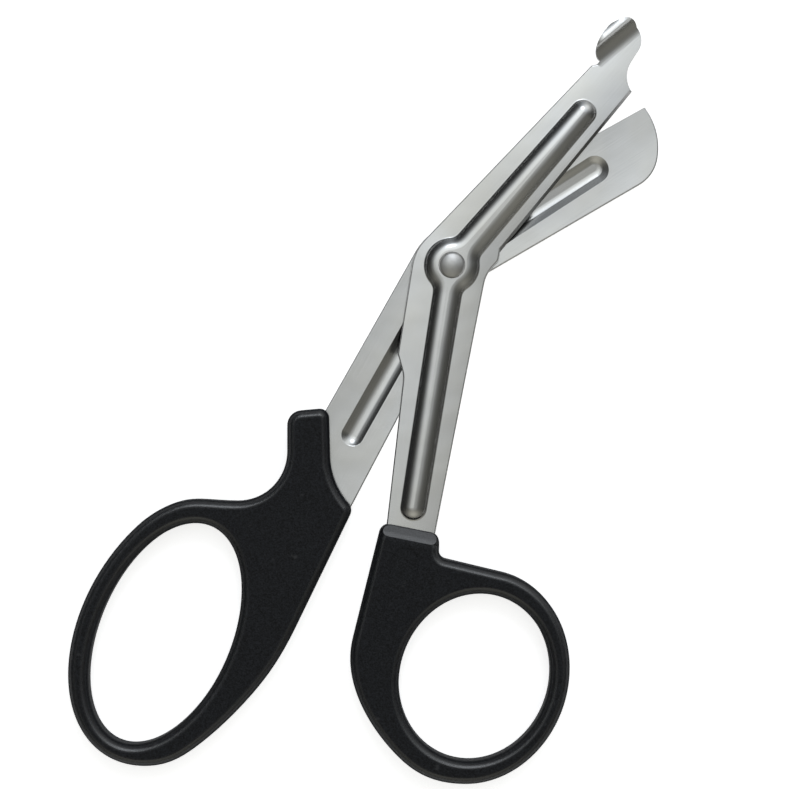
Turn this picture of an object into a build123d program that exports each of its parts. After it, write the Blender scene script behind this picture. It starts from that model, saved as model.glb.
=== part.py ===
from build123d import *
import os
from math import acos, asin, atan2, cos, degrees, radians, sin, tan

# Bandage shears lying flat: two stamped steel blades on one rivet, each with a
# moulded loop handle. Millimetres. The origin is on the pivot axis, in the plane
# that the handles and the foot of the rivet rest on. +Z is up, along the rivet.

# Layers, up from the resting plane
handle_thickness = 8.0
sheet_thickness = 1.5
sheet_edge_round = 0.3
blade_gap = 0.06

# Pressed ribs
rib_height = 1.2
rib_wall_angle = 50.0
rib_crest_radius = 3.5
rib_root_radius = 0.5
groove_inset = 0.62
front_groove_floor = 1.8
groove_lip_radius = 0.5

# Channels in the top of the rear blade, rolled about their own lines
channel_lift = 0.6
channel_lip_radius = 0.2
blade_channel_length = 40.0
blade_channel_half = 2.9
blade_channel_shift = 0.97
blade_channel_depth = 0.7
blade_channel_wall_angle = 65.0
blade_channel_floor = 3.0
blade_channel_roll = 4.5
tang_channel_length = 44.5
tang_channel_half = 2.26
tang_channel_shift = 0.0
tang_channel_depth = 0.6
tang_channel_wall_angle = 60.0
tang_channel_floor = 4.0
tang_channel_roll = 8.0

# Directions from the pivot, degrees from +X
front_blade_dir = 48.5
front_blade_rib_dir = 49.3
front_tang_dir = -99.0
rear_blade_dir = 33.0
rear_tang_dir = -119.5

# Front blade, along its axis and across it, + towards the spine
front_spine_length = 52.0
front_spine_root = 8.0
front_spine_tip = 5.95
front_edge_start = 8.9
front_edge_length = 53.45
front_edge_root = 5.85
front_edge_tip = 4.3
front_ricasso_length = 7.4
front_ricasso = 6.8
front_inner_elbow = 8.0
front_outer_elbow = 10.0
ricasso_round = 1.0
front_spine_round = 0.5

# Spoon at the end of the front blade: its curl has a direction of its own
spoon_dir = 40.0
spoon_bend_across = 11.9
spoon_bend_radius = 5.0
spoon_rim_height = 2.4
spoon_oval_along = 59.5
spoon_oval_across = 5.55
spoon_oval_long = 5.6
spoon_oval_short = 3.2
spoon_toe_along = 60.3
spoon_toe_across = 4.6
spoon_toe_radius = 4.2
spoon_notch_along = 53.0
spoon_notch_across = 5.2
spoon_neck_along = 58.2
spoon_neck_across = 0.05
spoon_neck_sag = 1.0

# Front tang, along its axis and across it, + towards its right-hand edge
front_tang_right_root = 7.6
front_tang_right_end = 5.4
front_tang_left_wide = 8.45
front_tang_wide_length = 20.7
front_tang_step_length = 25.0
front_tang_left_step = 6.5
front_tang_left_end = 5.0
front_tang_length = 60.0
front_tang_step_round = 1.2
front_tang_waist_radius = 6.0

# Rear blade, + towards its cutting edge
rear_edge_start = 9.4
rear_edge_root = 7.95
rear_belly_along = 30.0
rear_belly_across = 7.55
rear_belly_radius = 300.0
rear_tip_along = 53.4
rear_tip_across = 5.95
rear_nose_along = 53.5
rear_nose_across = -0.2
rear_nose_radius = 14.0
rear_heel_along = 47.4
rear_heel_radius = 8.0
rear_spine_root = 5.28
rear_spine_heel = 7.66
rear_ricasso_length = 9.0
rear_ricasso = 8.2
rear_outer_elbow = 12.0
rear_hub_radius = 7.0
rear_hub_blend = 3.0

# Rear tang
rear_tang_left = 8.28
rear_tang_left_length = 50.0
rear_tang_right_root = 5.15
rear_tang_right_end = 6.8
rear_tang_length = 58.0
rear_tang_shoulder = 3.0

# Tongue of each tang, held inside its handle
tongue_width = 8.0
tongue_length = 13.0
tongue_corner = 1.0
tongue_hole = 3.4

# Ribs: a round boss on the pivot, with an arm along the blade and the tang
boss_radius = 5.9
boss_blend_radius = 2.5
front_blade_rib_length = 46.0
front_blade_rib_root = 3.35
front_blade_rib_end = 2.75
front_tang_rib_length = 55.4
front_tang_rib_root = 3.1
front_tang_rib_end = 2.75
rear_blade_rib_length = 41.6
rear_blade_rib_root = 3.9
rear_blade_rib_end = 3.7
rear_tang_rib_length = 44.5
rear_tang_rib_root = 3.9
rear_tang_rib_end = 3.2

# Ground cutting edges
bevel_width = 0.65
bevel_depth = 1.1

# Rivet
rivet_radius = 1.75
rivet_clearance = 0.05
rivet_head_radius = 2.85
rivet_head_rim = 0.25
rivet_dome = 0.65
rivet_foot_round = 0.5

# Finger handle: a long oval loop on the rear tang
finger_centre_x = -61.5
finger_centre_y = -79.0
finger_tilt = 66.5
finger_long = 25.05
finger_short = 14.2
finger_outer_shift_x = 4.45
finger_outer_shift_y = 1.7
finger_outer_turn = -8.0
finger_rim_long = 7.6
finger_rim_short = 7.6
finger_rim_heading = 222.0
finger_crown_x = -57.0
finger_crown_y = -50.4
finger_shoulder = -50.6
finger_neck_blend = 10.7
finger_neck_left = -35.3
finger_neck_top = -31.4
finger_neck_corner = 3.2
finger_palm_x = -55.0
finger_palm_y = -103.4
finger_heel_x = -43.0
finger_heel_y = -92.2
finger_flat_end_x = -33.4
finger_flat_end_y = -77.5
finger_flat_top_x = -21.15
finger_flat_top_y = -52.25
finger_flat_corner = 2.3
finger_steel_bend_x = -26.15
finger_steel_bend_y = -41.0
finger_steel_top_x = -26.4
finger_steel_top_y = -30.6
finger_steel_corner = 2.1

# Thumb handle: a nearly round loop on the front tang
thumb_centre_x = 4.85
thumb_centre_y = -88.35
thumb_tilt = 71.0
thumb_long = 18.1
thumb_short = 16.0
thumb_rim_long = 5.1
thumb_rim_short = 4.07
thumb_collar_left_x = -15.1
thumb_collar_left_y = -55.2
thumb_collar_right_x = -2.65
thumb_collar_right_y = -57.7
thumb_collar_corner = 2.25
thumb_collar_slope_length = 2.5
thumb_collar_slope_depth = 1.3
thumb_flat_end_x = -21.3
thumb_flat_end_y = -80.1
thumb_palm_x = -12.6
thumb_palm_y = -104.3
thumb_shoulder_x = -2.8
thumb_shoulder_y = -62.7
thumb_shoulder_radius = 1.8
thumb_top_heading = 168.5

# Sunk oval panel on the thumb handle, left bare
thumb_panel_along = 69.8
thumb_panel_length = 17.0
thumb_panel_width = 6.0
thumb_panel_depth = 0.3

# Both handles
handle_rim_round = 1.9
loop_bottom_heading = 0.0

# Heights that follow from the layers
interface = handle_thickness / 2
front_bottom = interface + blade_gap / 2
front_top = front_bottom + sheet_thickness
rear_top = interface - blade_gap / 2
rear_bottom = rear_top - sheet_thickness
front_boss_top = front_top + rib_height
rear_boss_bottom = rear_bottom - rib_height
near = 0.001


def at(direction, along, across):
    """Point in plan, given along and across a blade or tang."""
    turn = radians(direction)
    return Vector(along * cos(turn) - across * sin(turn), along * sin(turn) + across * cos(turn))


def crossing(a, b, c, d):
    """Point where the line through a and b meets the line through c and d."""
    first = b - a
    second = d - c
    return a + first * ((c - a).cross(second).Z / first.cross(second).Z)


def axis_plane(direction, height):
    """Plane with its X along a blade or tang."""
    return Plane((0, 0, height), x_dir=at(direction, 1, 0), z_dir=(0, 0, 1))


def tongue(direction, start):
    """Corners of the narrow end of a tang, from its left side round to its right."""
    half = tongue_width / 2
    end = start + tongue_length
    sides = ((start, -half), (end, -half), (end, half), (start, half))
    return [at(direction, along, across) for along, across in sides]


def rib_arm(direction, length, root, end):
    """Tapered slot from the pivot to the rounded end of a rib."""
    middle = Vector(length - end, 0)
    lean = asin((root - end) / middle.X)
    left = Vector(sin(lean), cos(lean))
    right = Vector(sin(lean), -cos(lean))
    with BuildSketch(axis_plane(direction, 0)) as arm:
        with BuildLine():
            Line(left * root, middle + left * end)
            ThreePointArc(middle + left * end, (length, 0), middle + right * end)
            Polyline(middle + right * end, right * root, left * root)
        make_face()
    return arm.sketch


def rib_outline(height, arms, inset):
    """Boss and arms in one smooth outline, drawn in by the inset."""
    with BuildSketch(Plane.XY.offset(height)) as outline:
        Circle(boss_radius)
        add(arms)
        fillet(
            [v for v in outline.vertices() if abs(Vector(v.X, v.Y).length - boss_radius) < near],
            boss_blend_radius,
        )
        if inset:
            offset(amount=-inset, mode=Mode.REPLACE)
    return outline.sketch


def pressed_form(outline, upward, crest_radius):
    """Sloping walls and a rounded crest over an outline."""
    with BuildPart() as form:
        extrude(outline, amount=rib_height, dir=(0, 0, 1 if upward else -1), taper=rib_wall_angle)
        fillet(form.edges().group_by(Axis.Z)[-1 if upward else 0], crest_radius)
    return form.part


def channel(direction, length, half, shift, depth, wall_angle, floor_radius, roll):
    """Round-ended channel from the pivot along the top of the rear blade, rolled about its line."""
    run = length - half
    mouth = half + channel_lift * tan(radians(wall_angle))
    with BuildPart() as form:
        with BuildSketch(axis_plane(direction, rear_top + channel_lift)):
            with Locations((run / 2, shift)):
                SlotCenterToCenter(run, 2 * mouth)
        extrude(amount=depth + channel_lift, dir=(0, 0, -1), taper=wall_angle)
        fillet(form.edges().group_by(Axis.Z)[0], floor_radius)
    line = Axis(at(direction, 0, shift) + Vector(0, 0, rear_top), at(direction, 1, 0))
    return form.part.rotate(line, roll)


def level_edges(part, height):
    """Edges made by the last step that lie at one height."""
    return part.edges(Select.LAST).filter_by_position(Axis.Z, height - near, height + near)


def sheet_face(part, height):
    """Largest flat face at one height."""
    return part.faces().filter_by_position(Axis.Z, height - near, height + near).sort_by(SortBy.AREA)[-1]


def edges_within(part, direction, height, start, end):
    """Outline edges of the sheet at one height, between two corners in a blade's own frame."""
    plane = axis_plane(direction, height)
    low, high = sorted((start[1], end[1]))
    found = []
    for edge in sheet_face(part, height).outer_wire().edges():
        place = plane.to_local_coords(edge.center())
        if start[0] < place.X < end[0] and low - near < place.Y < high + near:
            found.append(edge)
    return found


def grind_edge(part, direction, height, start, end):
    """Grind the bevel along the cutting edge, between two corners, at one face of the sheet."""
    cutting = edges_within(part, direction, height, start, end)
    chamfer(cutting, bevel_width, bevel_depth, reference=sheet_face(part, height))


def soften_outline(part, height, sharp):
    """Roll off the sheet's outline at its top face, as blanking does, but not the sharp edges."""
    outline = sheet_face(part, height).outer_wire().edges()
    fillet([edge for edge in outline if edge not in sharp], sheet_edge_round)


def tongue_hole_place(direction, start, height):
    """Centre of the hole in a tongue."""
    return at(direction, start + tongue_length / 2, 0) + Vector(0, 0, height)


def loop_angle(long, short, tilt, heading):
    """Angle on an oval loop where its outline, taken anticlockwise, has a heading."""
    local = radians(heading - tilt)
    return degrees(atan2(-cos(local) / long, sin(local) / short))


def loop_ring(centre, long, short, tilt, start_heading, end_heading):
    """Outer edge of an oval loop between two headings, taken anticlockwise."""
    start = loop_angle(long, short, tilt, start_heading)
    sweep = (loop_angle(long, short, tilt, end_heading) - start) % 360
    return EllipticalCenterArc(centre, long, short, start, arc_size=sweep, rotation=tilt)


def round_rims(handle):
    """Round off the upper and lower rims of a handle."""
    for side in (0, -1):
        fillet(handle.faces().sort_by(Axis.Z)[side].edges(), handle_rim_round)


os.makedirs("parts", exist_ok=True)

# Spoon: the flat end of the front blade with its spine side curled up to a level rim
front_edge_from = (front_edge_start, -front_edge_root)
front_edge_to = (front_edge_length, -front_edge_tip)
spoon_outer = spoon_bend_radius + sheet_thickness
spoon_rim = sheet_thickness + spoon_rim_height
outer_turn = acos(1 - spoon_rim / spoon_outer)
inner_turn = acos(1 - spoon_rim_height / spoon_bend_radius)
rim_outside = Vector(spoon_bend_across + spoon_outer * sin(outer_turn), spoon_rim)
rim_inside = Vector(spoon_bend_across + spoon_bend_radius * sin(inner_turn), spoon_rim)
spoon_section = Plane(
    at(spoon_dir, front_ricasso_length, 0) + Vector(0, 0, front_bottom),
    x_dir=at(spoon_dir, 0, 1),
    z_dir=at(spoon_dir, 1, 0),
)
with BuildPart() as spoon:
    with BuildSketch(spoon_section):
        with BuildLine():
            Line((0, 0), (spoon_bend_across, 0))
            TangentArc((spoon_bend_across, 0), rim_outside, tangent=(1, 0))
            Line(rim_outside, rim_inside)
            TangentArc((spoon_bend_across, sheet_thickness), rim_inside, tangent=(1, 0))
            Polyline((spoon_bend_across, sheet_thickness), (0, sheet_thickness), (0, 0))
        make_face()
    extrude(amount=spoon_toe_along + spoon_toe_radius)
    with BuildSketch(axis_plane(front_blade_dir, front_bottom)):
        with BuildLine():
            Polyline(
                (spoon_neck_along, spoon_neck_across),
                (spoon_toe_along, spoon_toe_across - spoon_toe_radius),
                (spoon_oval_along, spoon_oval_across),
                (spoon_notch_along, spoon_notch_across),
                (spoon_notch_along, 0),
                front_edge_to,
            )
            SagittaArc(front_edge_to, (spoon_neck_along, spoon_neck_across), spoon_neck_sag)
        make_face()
        with Locations((spoon_toe_along, spoon_toe_across)):
            Circle(spoon_toe_radius)
        with Locations((spoon_oval_along, spoon_oval_across)):
            Ellipse(spoon_oval_long, spoon_oval_short)
    extrude(amount=handle_thickness, mode=Mode.INTERSECT)

# Front blade
front_tang_right = (
    at(front_tang_dir, 0, front_tang_right_root),
    at(front_tang_dir, front_tang_length, front_tang_right_end),
)
front_tang_left = (
    at(front_tang_dir, 0, -front_tang_left_wide),
    at(front_tang_dir, front_tang_wide_length, -front_tang_left_wide),
)
front_spine = (
    at(front_blade_dir, front_spine_length, front_spine_tip),
    at(front_blade_dir, 0, front_spine_root),
)
front_heel = (
    at(front_blade_dir, 0, -front_ricasso),
    at(front_blade_dir, front_ricasso_length, -front_ricasso),
)
front_arms = [
    rib_arm(front_blade_rib_dir, front_blade_rib_length, front_blade_rib_root, front_blade_rib_end),
    rib_arm(front_tang_dir, front_tang_rib_length, front_tang_rib_root, front_tang_rib_end),
]
front_rib = pressed_form(rib_outline(front_top, front_arms, 0), True, rib_crest_radius)
front_groove = pressed_form(
    rib_outline(front_bottom, front_arms, groove_inset), True, front_groove_floor
)
with BuildPart() as front:
    with BuildSketch(Plane.XY.offset(front_bottom)):
        with BuildLine():
            FilletPolyline(
                crossing(*front_heel, *front_tang_right),
                front_heel[1],
                at(front_blade_dir, *front_edge_from),
                at(front_blade_dir, *front_edge_to),
                at(front_blade_dir, spoon_notch_along, spoon_notch_across),
                front_spine[0],
                crossing(*front_spine, *front_tang_left),
                front_tang_left[1],
                at(front_tang_dir, front_tang_step_length, -front_tang_left_step),
                at(front_tang_dir, front_tang_length, -front_tang_left_end),
                *tongue(front_tang_dir, front_tang_length),
                front_tang_right[1],
                radius=(
                    front_inner_elbow,
                    ricasso_round,
                    0,
                    0,
                    0,
                    front_spine_round,
                    front_outer_elbow,
                    front_tang_step_round,
                    front_tang_waist_radius,
                    0,
                    0,
                    tongue_corner,
                    tongue_corner,
                    0,
                    0,
                ),
                close=True,
            )
        make_face()
    extrude(amount=sheet_thickness)
    grind_edge(front, front_blade_dir, front_top, front_edge_from, front_edge_to)
    front_sharp = edges_within(
        front, front_blade_dir, front_top, front_edge_from, (front_edge_length, front_spine_tip)
    )
    soften_outline(front, front_top, front_sharp)
    add(spoon.part)
    add(front_rib)
    fillet(level_edges(front, front_top), rib_root_radius)
    add(front_groove, mode=Mode.SUBTRACT)
    fillet(level_edges(front, front_bottom), groove_lip_radius)
    with Locations((0, 0, front_boss_top)):
        Hole(rivet_radius + rivet_clearance)
    with Locations(tongue_hole_place(front_tang_dir, front_tang_length, front_top)):
        Hole(tongue_hole / 2)
front.part.label = "front_blade"
export_step(front.part, "parts/front_blade.step")

# Rear blade: the same stamping turned over, so its ribs stand out below
rear_spine = (
    at(rear_blade_dir, 0, -rear_spine_root),
    at(rear_blade_dir, rear_heel_along, -rear_spine_heel),
)
rear_heel_line = (
    at(rear_blade_dir, rear_ricasso_length, rear_ricasso),
    at(rear_blade_dir, 0, rear_ricasso),
)
rear_left = (
    at(rear_tang_dir, 0, -rear_tang_left),
    at(rear_tang_dir, rear_tang_left_length, -rear_tang_left),
)
rear_right = (
    at(rear_tang_dir, rear_tang_length, rear_tang_right_end),
    at(rear_tang_dir, 0, rear_tang_right_root),
)
rear_edge_from = (rear_edge_start, rear_edge_root)
rear_edge_to = (rear_tip_along, rear_tip_across)
rear_arms = [
    rib_arm(rear_blade_dir, rear_blade_rib_length, rear_blade_rib_root, rear_blade_rib_end),
    rib_arm(rear_tang_dir, rear_tang_rib_length, rear_tang_rib_root, rear_tang_rib_end),
]
rear_rib = pressed_form(rib_outline(rear_bottom, rear_arms, 0), False, rib_crest_radius)
rear_channels = [
    channel(
        rear_blade_dir,
        blade_channel_length,
        blade_channel_half,
        blade_channel_shift,
        blade_channel_depth,
        blade_channel_wall_angle,
        blade_channel_floor,
        blade_channel_roll,
    ),
    channel(
        rear_tang_dir,
        tang_channel_length,
        tang_channel_half,
        tang_channel_shift,
        tang_channel_depth,
        tang_channel_wall_angle,
        tang_channel_floor,
        tang_channel_roll,
    ),
]
with BuildPart() as rear:
    with BuildSketch(Plane.XY.offset(rear_bottom)) as rear_plan:
        with BuildLine():
            FilletPolyline(
                crossing(*rear_spine, *rear_right),
                rear_spine[1],
                at(rear_blade_dir, rear_nose_along, rear_nose_across),
                at(rear_blade_dir, *rear_edge_to),
                at(rear_blade_dir, rear_belly_along, rear_belly_across),
                at(rear_blade_dir, *rear_edge_from),
                rear_heel_line[0],
                crossing(*rear_heel_line, *rear_left),
                rear_left[1],
                *tongue(rear_tang_dir, rear_tang_length),
                rear_right[0],
                radius=(
                    0,
                    rear_heel_radius,
                    rear_nose_radius,
                    0,
                    rear_belly_radius,
                    0,
                    0,
                    rear_outer_elbow,
                    rear_tang_shoulder,
                    0,
                    tongue_corner,
                    tongue_corner,
                    0,
                    0,
                ),
                close=True,
            )
        make_face()
        Circle(rear_hub_radius)
        fillet(
            [v for v in rear_plan.vertices() if abs(Vector(v.X, v.Y).length - rear_hub_radius) < near],
            rear_hub_blend,
        )
    extrude(amount=sheet_thickness)
    rear_sharp = edges_within(
        rear, rear_blade_dir, rear_top, (rear_ricasso_length, rear_ricasso), rear_edge_to
    )
    soften_outline(rear, rear_top, rear_sharp)
    add(rear_rib)
    fillet(level_edges(rear, rear_bottom), rib_root_radius)
    add(rear_channels, mode=Mode.SUBTRACT)
    fillet(level_edges(rear, rear_top), channel_lip_radius)
    grind_edge(rear, rear_blade_dir, rear_bottom, rear_edge_from, rear_edge_to)
    with Locations((0, 0, rear_top)):
        Hole(rivet_radius + rivet_clearance)
    with Locations(tongue_hole_place(rear_tang_dir, rear_tang_length, rear_top)):
        Hole(tongue_hole / 2)
rear.part.label = "rear_blade"
export_step(rear.part, "parts/rear_blade.step")

# Rivet: domed head on the front boss, shank through both blades, peened foot below
head_top = front_boss_top + rivet_head_rim + rivet_dome
foot_top = rear_boss_bottom - rivet_clearance
with BuildPart() as rivet:
    with BuildSketch(Plane.XZ) as rivet_half:
        with BuildLine():
            Polyline(
                (0, head_top),
                (0, 0),
                (rivet_head_radius, 0),
                (rivet_head_radius, foot_top),
                (rivet_radius, foot_top),
                (rivet_radius, front_boss_top),
                (rivet_head_radius, front_boss_top),
                (rivet_head_radius, front_boss_top + rivet_head_rim),
            )
            TangentArc((0, head_top), (rivet_head_radius, front_boss_top + rivet_head_rim), tangent=(1, 0))
        make_face()
        fillet(rivet_half.vertices().sort_by_distance((rivet_head_radius, 0))[0], rivet_foot_round)
    revolve(axis=Axis.Z)
rivet.part.label = "pivot_rivet"
export_step(rivet.part, "parts/pivot_rivet.step")

# Finger handle
finger_centre = Vector(finger_centre_x, finger_centre_y)
finger_outer_shift = Vector(finger_outer_shift_x, finger_outer_shift_y)
finger_crown = Vector(finger_crown_x, finger_crown_y)
finger_palm = Vector(finger_palm_x, finger_palm_y)
finger_heel = Vector(finger_heel_x, finger_heel_y)
finger_flat_end = Vector(finger_flat_end_x, finger_flat_end_y)
finger_flat_top = Vector(finger_flat_top_x, finger_flat_top_y)
finger_steel_bend = Vector(finger_steel_bend_x, finger_steel_bend_y)
finger_steel_top = Vector(finger_steel_top_x, finger_steel_top_y)
neck_corner = Vector(finger_neck_left, finger_neck_top)
neck_foot = Vector(finger_neck_left, finger_shoulder + finger_neck_blend)
neck_side = Vector(finger_neck_left - finger_neck_blend, finger_shoulder)
with BuildSketch() as finger_plan:
    with BuildLine():
        finger_ring = loop_ring(
            finger_centre + finger_outer_shift,
            finger_long + finger_rim_long,
            finger_short + finger_rim_short,
            finger_tilt + finger_outer_turn,
            finger_rim_heading,
            loop_bottom_heading,
        )
        Spline(
            finger_ring @ 1,
            finger_palm,
            finger_heel,
            finger_flat_end,
            tangents=(finger_ring % 1, (finger_flat_top - finger_flat_end).normalized()),
        )
        Line(finger_flat_end, finger_flat_top)
        TangentArc(finger_steel_bend, finger_flat_top, tangent=finger_steel_bend - finger_steel_top)
        Polyline(finger_steel_bend, finger_steel_top, neck_corner, neck_foot)
        TangentArc(neck_foot, neck_side, tangent=(0, -1))
        Spline(neck_side, finger_crown, finger_ring @ 0, tangents=((-1, 0), finger_ring % 0))
    make_face()
    fillet(finger_plan.vertices().sort_by_distance(neck_corner)[0], finger_neck_corner)
    fillet(finger_plan.vertices().sort_by_distance(finger_flat_top)[0], finger_flat_corner)
    fillet(finger_plan.vertices().sort_by_distance(finger_steel_top)[0], finger_steel_corner)
    with Locations(finger_centre):
        Ellipse(finger_long, finger_short, rotation=finger_tilt, mode=Mode.SUBTRACT)
with BuildPart() as finger:
    extrude(finger_plan.sketch, amount=handle_thickness)
    round_rims(finger)
    add(rear.part, mode=Mode.SUBTRACT)
finger.part.label = "finger_handle"
export_step(finger.part, "parts/finger_handle.step")

# Thumb handle
thumb_centre = Vector(thumb_centre_x, thumb_centre_y)
thumb_collar_left = Vector(thumb_collar_left_x, thumb_collar_left_y)
thumb_collar_right = Vector(thumb_collar_right_x, thumb_collar_right_y)
thumb_flat_end = Vector(thumb_flat_end_x, thumb_flat_end_y)
thumb_palm = Vector(thumb_palm_x, thumb_palm_y)
thumb_shoulder = Vector(thumb_shoulder_x, thumb_shoulder_y)
collar_line = thumb_collar_right - thumb_collar_left
collar_end = Plane(
    thumb_collar_left + Vector(0, 0, handle_thickness),
    x_dir=collar_line.cross(Vector(0, 0, 1)),
    z_dir=collar_line,
)
with BuildSketch() as thumb_plan:
    with BuildLine():
        thumb_ring = loop_ring(
            thumb_centre,
            thumb_long + thumb_rim_long,
            thumb_short + thumb_rim_short,
            thumb_tilt,
            loop_bottom_heading,
            thumb_top_heading,
        )
        Polyline(
            thumb_ring @ 1,
            thumb_shoulder,
            thumb_collar_right,
            thumb_collar_left,
            thumb_flat_end,
        )
        Spline(
            thumb_flat_end,
            thumb_palm,
            thumb_ring @ 0,
            tangents=((thumb_flat_end - thumb_collar_left).normalized(), thumb_ring % 0),
        )
    make_face()
    for corner in (thumb_collar_left, thumb_collar_right):
        fillet(thumb_plan.vertices().sort_by_distance(corner)[0], thumb_collar_corner)
    fillet(thumb_plan.vertices().sort_by_distance(thumb_shoulder)[0], thumb_shoulder_radius)
    with Locations(thumb_centre):
        Ellipse(thumb_long, thumb_short, rotation=thumb_tilt, mode=Mode.SUBTRACT)
with BuildPart() as thumb:
    extrude(thumb_plan.sketch, amount=handle_thickness)
    round_rims(thumb)
    with BuildSketch(collar_end):
        with BuildLine():
            Polyline(
                (thumb_collar_slope_length, 0),
                (0, thumb_collar_slope_depth),
                (-thumb_collar_slope_length, thumb_collar_slope_depth),
                (-thumb_collar_slope_length, 0),
                close=True,
            )
        make_face()
    extrude(amount=collar_line.length, mode=Mode.SUBTRACT)
    with BuildSketch(axis_plane(front_tang_dir, handle_thickness)):
        with Locations((thumb_panel_along, 0)):
            SlotOverall(thumb_panel_length, thumb_panel_width)
    extrude(amount=-thumb_panel_depth, mode=Mode.SUBTRACT)
    add(front.part, mode=Mode.SUBTRACT)
thumb.part.label = "thumb_handle"
export_step(thumb.part, "parts/thumb_handle.step")
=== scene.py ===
# %% [markdown]
# # Bandage shears
# The solids of the shears come from the part's own model, already in their places.
# This lesson gives them their finishes, lays them on a pale table and lights them
# as the photograph does: from straight above, with a soft studio light.

# %% Load the frame
import math

import bpy
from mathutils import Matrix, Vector

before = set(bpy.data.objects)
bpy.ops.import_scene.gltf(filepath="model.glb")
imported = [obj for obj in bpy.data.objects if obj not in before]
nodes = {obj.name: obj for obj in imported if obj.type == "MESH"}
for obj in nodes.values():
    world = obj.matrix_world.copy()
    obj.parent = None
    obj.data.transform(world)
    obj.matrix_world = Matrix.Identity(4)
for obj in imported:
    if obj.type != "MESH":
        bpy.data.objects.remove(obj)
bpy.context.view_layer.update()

MM = 0.001

# %% [markdown]
# ## The camera
# The photograph looks straight down, with the handles at the bottom. The view is
# 169.6 mm wide at the height of the blades, and its middle lies a little down and
# to the left of the rivet. An orthographic camera would show no perspective at all.
# A long lens is used instead, because a real photograph always has a little.

# %% Camera
VIEW_WIDTH = 169.6 * MM
VIEW_MIDDLE = Vector((-12.3, -27.75)) * MM
BLADE_HEIGHT = 4.5 * MM
CAMERA_HEIGHT = 0.6

camera_data = bpy.data.cameras.new("camera")
camera_data.lens = camera_data.sensor_width * (CAMERA_HEIGHT - BLADE_HEIGHT) / VIEW_WIDTH
camera = bpy.data.objects.new("camera", camera_data)
camera.location = (VIEW_MIDDLE.x, VIEW_MIDDLE.y, CAMERA_HEIGHT)
bpy.context.collection.objects.link(camera)
bpy.context.scene.camera = camera
bpy.context.scene.view_settings.view_transform = "Standard"
print("lens in mm", round(camera_data.lens, 1))

# %% [markdown]
# ## Helpers for node materials
# Every finish below is a node tree that reads Object coordinates, so its grain is
# measured in metres on the part itself and stays put when the shears open. Node
# trees could be drawn by hand in the editor. In a script, these helpers add a node,
# link what goes into it and hand it back, so a finish reads like a few sums.


# %% Node helpers
def new_material(name):
    """Empty node material with its output, ready for a shader."""
    material = bpy.data.materials.new(name)
    material.use_nodes = True
    tree = material.node_tree
    tree.nodes.clear()
    return material, tree, tree.nodes.new("ShaderNodeOutputMaterial")


def put(tree, kind, inputs=(), **settings):
    """Add a node. Inputs are numbers, colours or other nodes' sockets, by name or place."""
    node = tree.nodes.new(kind)
    for key, value in settings.items():
        setattr(node, key, value)
    for key, value in dict(inputs).items():
        if isinstance(value, bpy.types.NodeSocket):
            tree.links.new(value, node.inputs[key])
        else:
            node.inputs[key].default_value = value
    return node


def object_place(tree):
    """Place on the part, in metres from the pivot at the table's height."""
    return put(tree, "ShaderNodeTexCoord").outputs["Object"]


print("node helpers ready")


# %% Sums on sockets
def math_node(tree, operation, *values):
    """Result of one sum on sockets or numbers."""
    return put(tree, "ShaderNodeMath", enumerate(values), operation=operation).outputs[0]


def add_up(tree, first, *others):
    """Sum of any number of values."""
    for other in others:
        first = math_node(tree, "ADD", first, other)
    return first


def past(tree, value, start):
    """How far a value lies past a start, and 0 before it."""
    return math_node(tree, "MAXIMUM", math_node(tree, "SUBTRACT", value, start), 0.0)


def squared(tree, value, times=1.0):
    """Square of a value, times a number."""
    return math_node(tree, "MULTIPLY", math_node(tree, "POWER", value, 2), times)


def remap(tree, value, low, high, to_low=0.0, to_high=1.0):
    """Stretch a band of values onto another, held at both ends."""
    settings = {
        "Value": value,
        "From Min": low,
        "From Max": high,
        "To Min": to_low,
        "To Max": to_high,
    }
    return put(tree, "ShaderNodeMapRange", settings).outputs["Result"]


print("sums ready")


# %% Patterns and colours
def noise(tree, vector, scale, detail=2.0, roughness=0.5):
    """Soft random field over the surface, from 0 to 1."""
    settings = {"Vector": vector, "Scale": scale, "Detail": detail, "Roughness": roughness}
    return put(tree, "ShaderNodeTexNoise", settings).outputs["Fac"]


def mix_colour(tree, factor, first, second):
    """Blend of two colours."""
    node = put(tree, "ShaderNodeMix", data_type="RGBA")
    for place, value in (("Factor_Float", factor), ("A_Color", first), ("B_Color", second)):
        socket = next(s for s in node.inputs if s.identifier == place)
        if isinstance(value, bpy.types.NodeSocket):
            tree.links.new(value, socket)
        else:
            socket.default_value = value
    return next(s for s in node.outputs if s.identifier == "Result_Color")


def turned(tree, vector, angle, stretch=(1, 1, 1)):
    """Coordinates turned about Z so that X runs at an angle, then divided by a stretch."""
    settings = {"Vector": vector, "Rotation": (0, 0, math.radians(angle)), "Scale": stretch}
    return put(tree, "ShaderNodeMapping", settings, vector_type="TEXTURE").outputs[0]


def along_line(tree, place, heading):
    """Place measured along (X), across (Y) and above (Z) a line that leaves the pivot."""
    return put(tree, "ShaderNodeSeparateXYZ", {0: turned(tree, place, heading)}).outputs


print("patterns ready")


# %% Finishes on solids
def skin(tree, output, height, settings):
    """Shader of a finish, with its relief, in metres, as a bump."""
    bump = put(tree, "ShaderNodeBump", {"Height": height, "Distance": 1.0, "Strength": 1.0})
    shader = put(tree, "ShaderNodeBsdfPrincipled", {**settings, "Normal": bump.outputs[0]})
    tree.links.new(shader.outputs[0], output.inputs["Surface"])


def dress(name, material):
    """Put a material on a CAD node."""
    faces = nodes[name].data
    faces.materials.clear()
    faces.materials.append(material)
    print(material.name, "on", name)


print("finish helpers ready")

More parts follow.
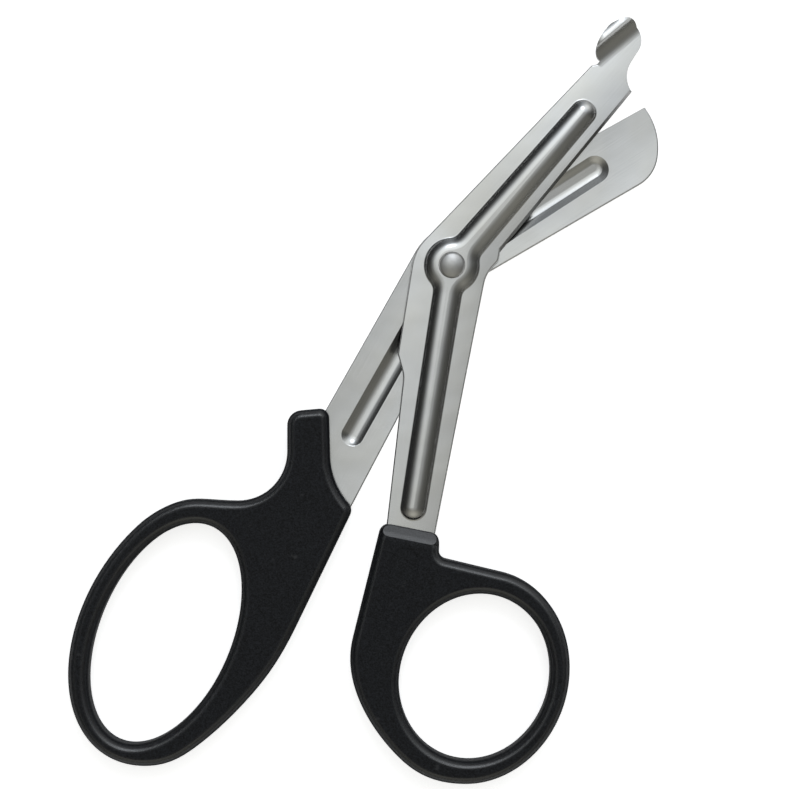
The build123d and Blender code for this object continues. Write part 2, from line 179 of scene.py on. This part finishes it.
# %% [markdown]
# ## Stainless steel
# The blades are stamped from sheet and tumbled to a satin shine. Each slight relief
# of the sheet is made below as a height, and one Bump node turns their sum into
# shading. They could be modelled in the solids. They change how the steel shines and
# not its outline, so a bump was chosen and the solids stay as they are.
#
# The first step finds the edges. A press shears them and a wheel grinds the cutting
# edge, so they keep a duller skin than the flats. Their colour is also darkened
# there, which is painted shade: it stands in for the shadow and dark reflection
# along the edges. Faces could be picked one by one. Here the surface's own direction
# tells them apart, because flats point straight up or down and an edge stands upright.


# %% Lean of the surface
def steepness(tree):
    """How far the surface leans, from 0 where it lies flat to 1 where it stands upright."""
    facing = put(tree, "ShaderNodeTexCoord").outputs["Normal"]
    upright = put(tree, "ShaderNodeSeparateXYZ", {0: facing}).outputs["Z"]
    return math_node(tree, "SUBTRACT", 1.0, math_node(tree, "ABSOLUTE", upright))


print("lean of a 45 degree bevel", round(1 - math.cos(math.radians(45)), 2))

# %% [markdown]
# ## Bow of the flats and polishing lines
# Pressing the rib bows the flats a little, so one side of each rib is brighter than
# the other. A height that falls with the square of the distance from the middle of
# an arm gives that bow, and on the rear blade, which is turned over, it rises
# instead. A smooth minimum joins blade and tang without a crease at the pivot. Fine
# polishing lines run along each arm: a noise that is stretched in that direction.

# %% Arms
LINE_SIZE = (16 * MM, 0.25 * MM, 16 * MM)
LINE_DEPTH = 0.005 * MM
ARM_BLEND = 40 * MM * MM


def arm_relief(tree, place, arms, bow):
    """Bow of the flats away from both arms, with polishing lines along the nearer one."""
    squares, lines = [], []
    for arm in arms:
        spot = along_line(tree, place, arm)
        behind = math_node(tree, "MINIMUM", spot["X"], 0.0)
        across = math_node(tree, "MULTIPLY", spot["Y"], spot["Y"])
        squares.append(math_node(tree, "MULTIPLY_ADD", behind, behind, across))
        lines.append(noise(tree, turned(tree, place, arm, LINE_SIZE), 1.0))
    away = math_node(tree, "SMOOTH_MIN", *squares, ARM_BLEND)
    on_blade = math_node(tree, "LESS_THAN", *squares)
    along_blade = math_node(tree, "SUBTRACT", *lines)
    line = math_node(tree, "MULTIPLY_ADD", on_blade, along_blade, lines[1])
    line = math_node(tree, "MULTIPLY", line, LINE_DEPTH)
    return math_node(tree, "MULTIPLY_ADD", away, -bow, line)


print("polishing lines in mm", [round(side / MM, 2) for side in LINE_SIZE])

# %% [markdown]
# ## Rim of the spoon
# The blunt spoon at the front blade's tip ends in a level rim, and tumbling rounds
# it to the outside and at both ends. A bevel would change the solid. A height that
# falls with the square of the distance past the rim's crest rounds it in shading
# alone, and only faces at the level of the rim take part.

# %% Spoon
SPOON_HEADING = 40.0
RIM_INSIDE = 16.2 * MM
RIM_FOOT = 7.6 * MM
RIM_ROUND = 130.0
RIM_MIDDLE = 58.6 * MM
RIM_CREST = 2.2 * MM
RIM_END = 95.0


def rounded_rim(tree, place):
    """Bump over the level rim of the spoon that falls away to the outside and the ends."""
    spot = along_line(tree, place, SPOON_HEADING)
    outside = squared(tree, past(tree, spot["Y"], RIM_INSIDE), -RIM_ROUND)
    along = math_node(tree, "ABSOLUTE", math_node(tree, "SUBTRACT", spot["X"], RIM_MIDDLE))
    ends = squared(tree, past(tree, along, RIM_CREST), -RIM_END)
    on_rim = math_node(tree, "GREATER_THAN", spot["Z"], RIM_FOOT)
    return math_node(tree, "MULTIPLY", add_up(tree, outside, ends), on_rim)


print("rim starts at a height of", round(RIM_FOOT / MM, 1), "mm")

# %% [markdown]
# ## Set of the front blade
# A scissor blade has a set, a slight bow along its length, so that the two edges
# meet at one point while they close. In the photograph the flat brightens towards
# the tip. One long low wave along the blade shades it so, without bending the sheet.

# %% Set
SET_LENGTH = 66 * MM
SET_RISE = 1.0 * MM


def blade_set(tree, place, heading):
    """Bump of a long, low bow along the blade."""
    spot = along_line(tree, place, heading)
    wave = math_node(tree, "SINE", remap(tree, spot["X"], 0, SET_LENGTH, 0, math.pi))
    return squared(tree, wave, SET_RISE)


print("set over", round(SET_LENGTH / MM), "mm of blade")

# %% [markdown]
# ## Walls of the rear channels
# The rear blade shows the hollow side of its pressed ribs. The press leaves the walls
# of these channels a few degrees steeper than a smooth channel. The distance to the
# middle line of a channel, with its round ends, places a ramp just inside its edge.

# %% Channels
WALL_WIDTH = 1.5 * MM
WALL_DROP = 0.12 * MM


def steeper_wall(tree, place, heading, shift, run, half):
    """Bump that leans the walls of one round-ended channel further in."""
    spot = along_line(tree, place, heading)
    beyond = math_node(tree, "SUBTRACT", spot["X"], math_node(tree, "MINIMUM", spot["X"], run * MM))
    behind = math_node(tree, "MINIMUM", spot["X"], 0.0)
    ends = add_up(tree, beyond, behind)
    off = math_node(tree, "SUBTRACT", spot["Y"], shift * MM)
    square = math_node(tree, "MULTIPLY_ADD", ends, ends, squared(tree, off))
    away = math_node(tree, "SQRT", square)
    return remap(tree, away, half * MM - WALL_WIDTH, half * MM, -WALL_DROP, 0)


print("walls lean", round(math.degrees(math.atan2(WALL_DROP, WALL_WIDTH)), 1), "degrees more")

# %% [markdown]
# ## Steel on the blades
# The sheet is not quite flat after pressing, so a slow wave and faint warm and cool
# patches break up the shine, and a fine grain makes it satin. One flat grey would
# look like paint. All heights are added up, because the shader takes one normal.

# %% Steel
STEEL_COOL = (0.63, 0.64, 0.643, 1)
STEEL_WARM = (0.636, 0.638, 0.618, 1)
# The darker edge colour is painted shade, for the shadow and dark reflection along the edges
STEEL_EDGE_SHADE = (0.2, 0.2, 0.196, 1)
STEEL_SATIN = (0.2, 0.22)
EDGE_LEAN = (0.3, 0.55)
EDGE_DULL = 0.25
PATCH_SCALE = 75
PATCH_BAND = (0.35, 0.65)
SATIN_BAND = (0.3, 0.7)
WAVE_DEPTH = 0.15 * MM
GRAIN_SCALE = 5200
GRAIN_DEPTH = 0.0035 * MM


def steel(name, arms, bow, with_spoon=False, channels=()):
    """Satin stamped sheet. Arms are the headings of its blade and its tang."""
    material, tree, output = new_material(name)
    place = object_place(tree)
    patches = noise(tree, place, PATCH_SCALE)
    wave = math_node(tree, "MULTIPLY", patches, WAVE_DEPTH)
    grain = math_node(tree, "MULTIPLY", noise(tree, place, GRAIN_SCALE, 3), GRAIN_DEPTH)
    heights = [arm_relief(tree, place, arms, bow), wave, grain]
    if with_spoon:
        heights += [rounded_rim(tree, place), blade_set(tree, place, arms[0])]
    heights += [steeper_wall(tree, place, *channel) for channel in channels]
    edge = remap(tree, steepness(tree), *EDGE_LEAN)
    colour = mix_colour(tree, remap(tree, patches, *PATCH_BAND), STEEL_COOL, STEEL_WARM)
    # Painted shade: upright faces get the darker edge colour, for the shadow and dark reflection
    # there
    colour = mix_colour(tree, edge, colour, STEEL_EDGE_SHADE)
    satin = remap(tree, patches, *SATIN_BAND, *STEEL_SATIN)
    dull = math_node(tree, "MULTIPLY_ADD", edge, EDGE_DULL, satin)
    settings = {"Base Color": colour, "Metallic": 1.0, "Roughness": dull}
    skin(tree, output, add_up(tree, *heights), settings)
    return material


print("steel roughness", STEEL_SATIN, "and", EDGE_DULL, "more on edges")

# %% Both blades
FRONT_ARMS = (48.5, -99.0)
FRONT_BOW = 4.3
REAR_ARMS = (33.0, -119.5)
REAR_BOW = -2.2
# Each row is heading in degrees, shift, run and half width in mm
REAR_CHANNELS = ((33.0, 0.47, 37.1, 3.0), (-119.5, -0.53, 42.2, 2.47))

dress("front_blade", steel("front_steel", FRONT_ARMS, FRONT_BOW, with_spoon=True))
dress("rear_blade", steel("rear_steel", REAR_ARMS, REAR_BOW, channels=REAR_CHANNELS))

# %% [markdown]
# ## Rivet
# The rivet is a softer, duller steel with the marks of its heading tool, which also
# turns the edge of the head down. The head is round, so its edge is found by the
# distance from the pivot's axis, and a bump that falls away past it shades it so.

# %% Rivet
RIVET_PALE = (0.56, 0.56, 0.55, 1)
RIVET_DULL = (0.46, 0.46, 0.45, 1)
RIVET_SATIN = (0.36, 0.44)
HEAD_EDGE = 2.3 * MM
EDGE_FALL = 800.0
MOTTLE_SCALE = 420
MOTTLE_BAND = (0.3, 0.7)
PIT_SCALE = 1900
PIT_DEPTH = 0.012 * MM


def rivet_steel():
    """Tumbled steel with a faint pitted skin."""
    material, tree, output = new_material("rivet_steel")
    place = object_place(tree)
    mottle = noise(tree, place, MOTTLE_SCALE, 4)
    pits = math_node(tree, "MULTIPLY", noise(tree, place, PIT_SCALE, 3), PIT_DEPTH)
    flat = put(tree, "ShaderNodeVectorMath", {0: place, 1: (1, 1, 0)}, operation="MULTIPLY")
    radius = put(tree, "ShaderNodeVectorMath", {0: flat.outputs[0]}, operation="LENGTH")
    fall = squared(tree, past(tree, radius.outputs["Value"], HEAD_EDGE), -EDGE_FALL)
    settings = {
        "Base Color": mix_colour(tree, remap(tree, mottle, *MOTTLE_BAND), RIVET_PALE, RIVET_DULL),
        "Metallic": 1.0,
        "Roughness": remap(tree, mottle, *MOTTLE_BAND, *RIVET_SATIN),
    }
    skin(tree, output, add_up(tree, pits, fall), settings)
    return material


dress("pivot_rivet", rivet_steel())

# %% [markdown]
# ## Edge of the thumb collar
# The thumb handle's collar slopes down to the steel, and the mould rounds the edge
# where the slope starts. The solid has a sharp edge there, so its plastic gets a bump
# along that edge. It works on the top side only, because the underside is flat.

# %% Collar
COLLAR_HEADING = -11.35
COLLAR_EDGE = -59.6 * MM
COLLAR_ROUND = 1.1 * MM
COLLAR_FALL = 118.0
HANDLE_MIDDLE = 4 * MM


def soft_collar(tree, place):
    """Bump that rounds the edge where the collar's slope starts, on the top side only."""
    spot = along_line(tree, place, COLLAR_HEADING)
    off = math_node(tree, "ABSOLUTE", math_node(tree, "SUBTRACT", spot["Y"], COLLAR_EDGE))
    near = math_node(tree, "MAXIMUM", math_node(tree, "SUBTRACT", COLLAR_ROUND, off), 0.0)
    on_top = math_node(tree, "GREATER_THAN", spot["Z"], HANDLE_MIDDLE)
    return math_node(tree, "MULTIPLY", squared(tree, near, -COLLAR_FALL), on_top)


print("collar edge", round(-COLLAR_EDGE / MM, 1), "mm from the pivot")

# %% [markdown]
# ## Black plastic
# The handles are moulded in black plastic. Their flat faces have a fine dull grain
# from the mould, the rounded rims are smoother, so they carry the highlights, and
# the side walls are dull again. Three materials could be given to three groups of
# faces. Here the lean of the surface tells them apart, so one finish changes softly
# into the next. The grain is a third of a millimetre in size, both a bump and a
# change of shade. Small grey scuffs from handling are the peaks of a coarser noise.

# %% Plastic
PLASTIC_BLACK = (0.001, 0.0012, 0.0018, 1)
PLASTIC_GREY = (0.02, 0.0225, 0.0275, 1)
SCUFF_GREY = (0.05, 0.05, 0.053, 1)
RIM_LEAN = (0.005, 0.05)
WALL_LEAN = (0.06, 0.45)
MOULD_SCALE = 3300
MOULD_BAND = (0.35, 0.7)
# In each pair the first value is on the flats and the second on the rims
MOULD_DEPTH = (0.085 * MM, 0.051 * MM)
PLASTIC_GLOSS = (0.2, 1.0)
PLASTIC_DULL = (0.5, 0.24)
WALL_GLOSS = 0.06
WALL_DULL = 0.4
SCUFF_SCALE = 420
SCUFF_BAND = (0.7, 0.76)
SCUFF_SHARE = 0.6


def plastic(name, with_collar=False):
    """Moulded black plastic with a grained skin and small scuffs."""
    material, tree, output = new_material(name)
    place = object_place(tree)
    lean = steepness(tree)
    rim, wall = remap(tree, lean, *RIM_LEAN), remap(tree, lean, *WALL_LEAN)
    grain = noise(tree, place, MOULD_SCALE, 3, 0.6)
    scuff = remap(tree, noise(tree, place, SCUFF_SCALE), *SCUFF_BAND, 0, SCUFF_SHARE)
    base = mix_colour(tree, remap(tree, grain, *MOULD_BAND), PLASTIC_BLACK, PLASTIC_GREY)
    height = math_node(tree, "MULTIPLY", grain, remap(tree, rim, 0, 1, *MOULD_DEPTH))
    if with_collar:
        height = add_up(tree, height, soft_collar(tree, place))
    wall_gloss = remap(tree, wall, 0, 1, 1, WALL_GLOSS)
    gloss = math_node(tree, "MULTIPLY", remap(tree, rim, 0, 1, *PLASTIC_GLOSS), wall_gloss)
    wall_dull = remap(tree, wall, 0, 1, 0, WALL_DULL)
    settings = {
        "Base Color": mix_colour(tree, scuff, base, SCUFF_GREY),
        "Roughness": add_up(tree, remap(tree, rim, 0, 1, *PLASTIC_DULL), wall_dull),
        "Specular IOR Level": gloss,
    }
    skin(tree, output, height, settings)
    return material


dress("thumb_handle", plastic("thumb_plastic", with_collar=True))
dress("finger_handle", plastic("finger_plastic"))

# %% [markdown]
# ## Table
# The shears lie on a plain white table, a hair below them so that no two faces share
# a plane. Brighter lamps would whiten the table and the object alike. So the table
# shines a little by itself where the camera sees it or the steel mirrors it, and the
# shadow of the shears stays.

# %% Table
TABLE_SIZE = 6.0
TABLE_WHITE = (0.86, 0.86, 0.86, 1)
TABLE_GLOW = 0.74
TABLE_DROP = 0.03 * MM

bpy.ops.mesh.primitive_plane_add(size=TABLE_SIZE, location=(0, 0, -TABLE_DROP))
table = bpy.context.object
table.name = "table"
table_material, tree, output = new_material("table_white")
rays = put(tree, "ShaderNodeLightPath").outputs
seen = math_node(tree, "MAXIMUM", rays["Is Camera Ray"], rays["Is Glossy Ray"])
seen = math_node(tree, "MAXIMUM", seen, rays["Is Transmission Ray"])
shine = math_node(tree, "MULTIPLY", seen, TABLE_GLOW)
glow = put(tree, "ShaderNodeEmission", {"Color": (1, 1, 1, 1), "Strength": shine})
matt = put(tree, "ShaderNodeBsdfDiffuse", {"Color": TABLE_WHITE})
both = put(tree, "ShaderNodeAddShader", {0: matt.outputs[0], 1: glow.outputs[0]})
tree.links.new(both.outputs[0], output.inputs["Surface"])
table.data.materials.append(table_material)
print("table", TABLE_SIZE, "m wide")

# %% [markdown]
# ## Light
# Steel shows what it mirrors, so the room itself is the main light. Broad soft spots
# stand overhead, beyond the blades and behind the handles, and the rest of the room
# is dim, so the slopes of the ribs turn dark as they do in the photograph. Lamps
# could stand for these spots, but their rims would show in the steel. A bell curve
# in the world's colour fades out without one. A small round panel at the far side
# lights the rivet and the rims of the handles.


# %% Directions and soft spots
def towards(zenith, heading):
    """Direction tipped from straight up by zenith, towards a heading, both in degrees."""
    tip, turn = math.radians(zenith), math.radians(heading)
    return Vector((math.sin(tip) * math.cos(turn), math.sin(tip) * math.sin(turn), math.cos(tip)))


def soft_spot(tree, sky, zenith, heading, spread, strength, tint):
    """Round patch of tinted light in the room that fades out evenly, as a bell curve."""
    settings = {0: sky, 1: towards(zenith, heading)}
    facing = put(tree, "ShaderNodeVectorMath", settings, operation="DOT_PRODUCT").outputs["Value"]
    angle = math_node(tree, "ARCCOSINE", math_node(tree, "MINIMUM", facing, 1.0))
    share = math_node(tree, "DIVIDE", angle, math.radians(spread))
    bell = math_node(tree, "EXPONENT", squared(tree, share, -0.5))
    settings = {"Vector": tint, "Scale": math_node(tree, "MULTIPLY", bell, strength)}
    return put(tree, "ShaderNodeVectorMath", settings, operation="SCALE").outputs["Vector"]


print("straight up is", [round(c, 2) for c in towards(0, 0)])

# %% Room
ROOM_GREY = 0.02
COOL = (0.9, 0.98, 1.1)
WARM = (1.05, 1.02, 0.9)
NEUTRAL = (0.985, 1.0, 0.99)
# Each row is zenith, heading, spread, strength and tint
SPOTS = (
    (17, 112, 16, 1.06, NEUTRAL),
    (30, 125, 12, 0.15, COOL),
    (32, 60, 14, 0.42, COOL),
    (38, 90, 7, 2.2, COOL),
    (58, 55, 18, 0.95, NEUTRAL),
    (50, -95, 25, 0.48, WARM),
    (65, -45, 25, 0.08, WARM),
    (72, 85, 16, 0.22, COOL),
)

world = bpy.data.worlds.new("room")
world.use_nodes = True
bpy.context.scene.world = world
tree = world.node_tree
sky = put(tree, "ShaderNodeTexCoord").outputs["Generated"]
total = (ROOM_GREY, ROOM_GREY, ROOM_GREY)
for spot in SPOTS:
    settings = {0: soft_spot(tree, sky, *spot), 1: total}
    total = put(tree, "ShaderNodeVectorMath", settings, operation="ADD").outputs["Vector"]
tree.links.new(total, tree.nodes["Background"].inputs["Color"])
print("soft spots", len(SPOTS))

# %% Panel
LOOK_AT = Vector((VIEW_MIDDLE.x, VIEW_MIDDLE.y, 0))


def panel(name, zenith, heading, distance, size, radiance):
    """Soft round panel, tipped from straight above towards a heading, facing the shears."""
    away = towards(zenith, heading)
    data = bpy.data.lights.new(name, "AREA")
    data.shape = "DISK"
    data.size = size
    data.energy = radiance * math.pi * math.pi * (size / 2) ** 2
    lamp = bpy.data.objects.new(name, data)
    lamp.location = LOOK_AT + away * distance
    lamp.rotation_mode = "QUATERNION"
    lamp.rotation_quaternion = away.to_track_quat("Z", "Y")
    bpy.context.collection.objects.link(lamp)
    return lamp


lamp = panel("far_side", zenith=38, heading=88, distance=1.2, size=0.4, radiance=1.6)
print("panel", lamp.name, round(lamp.data.energy, 2), "W")
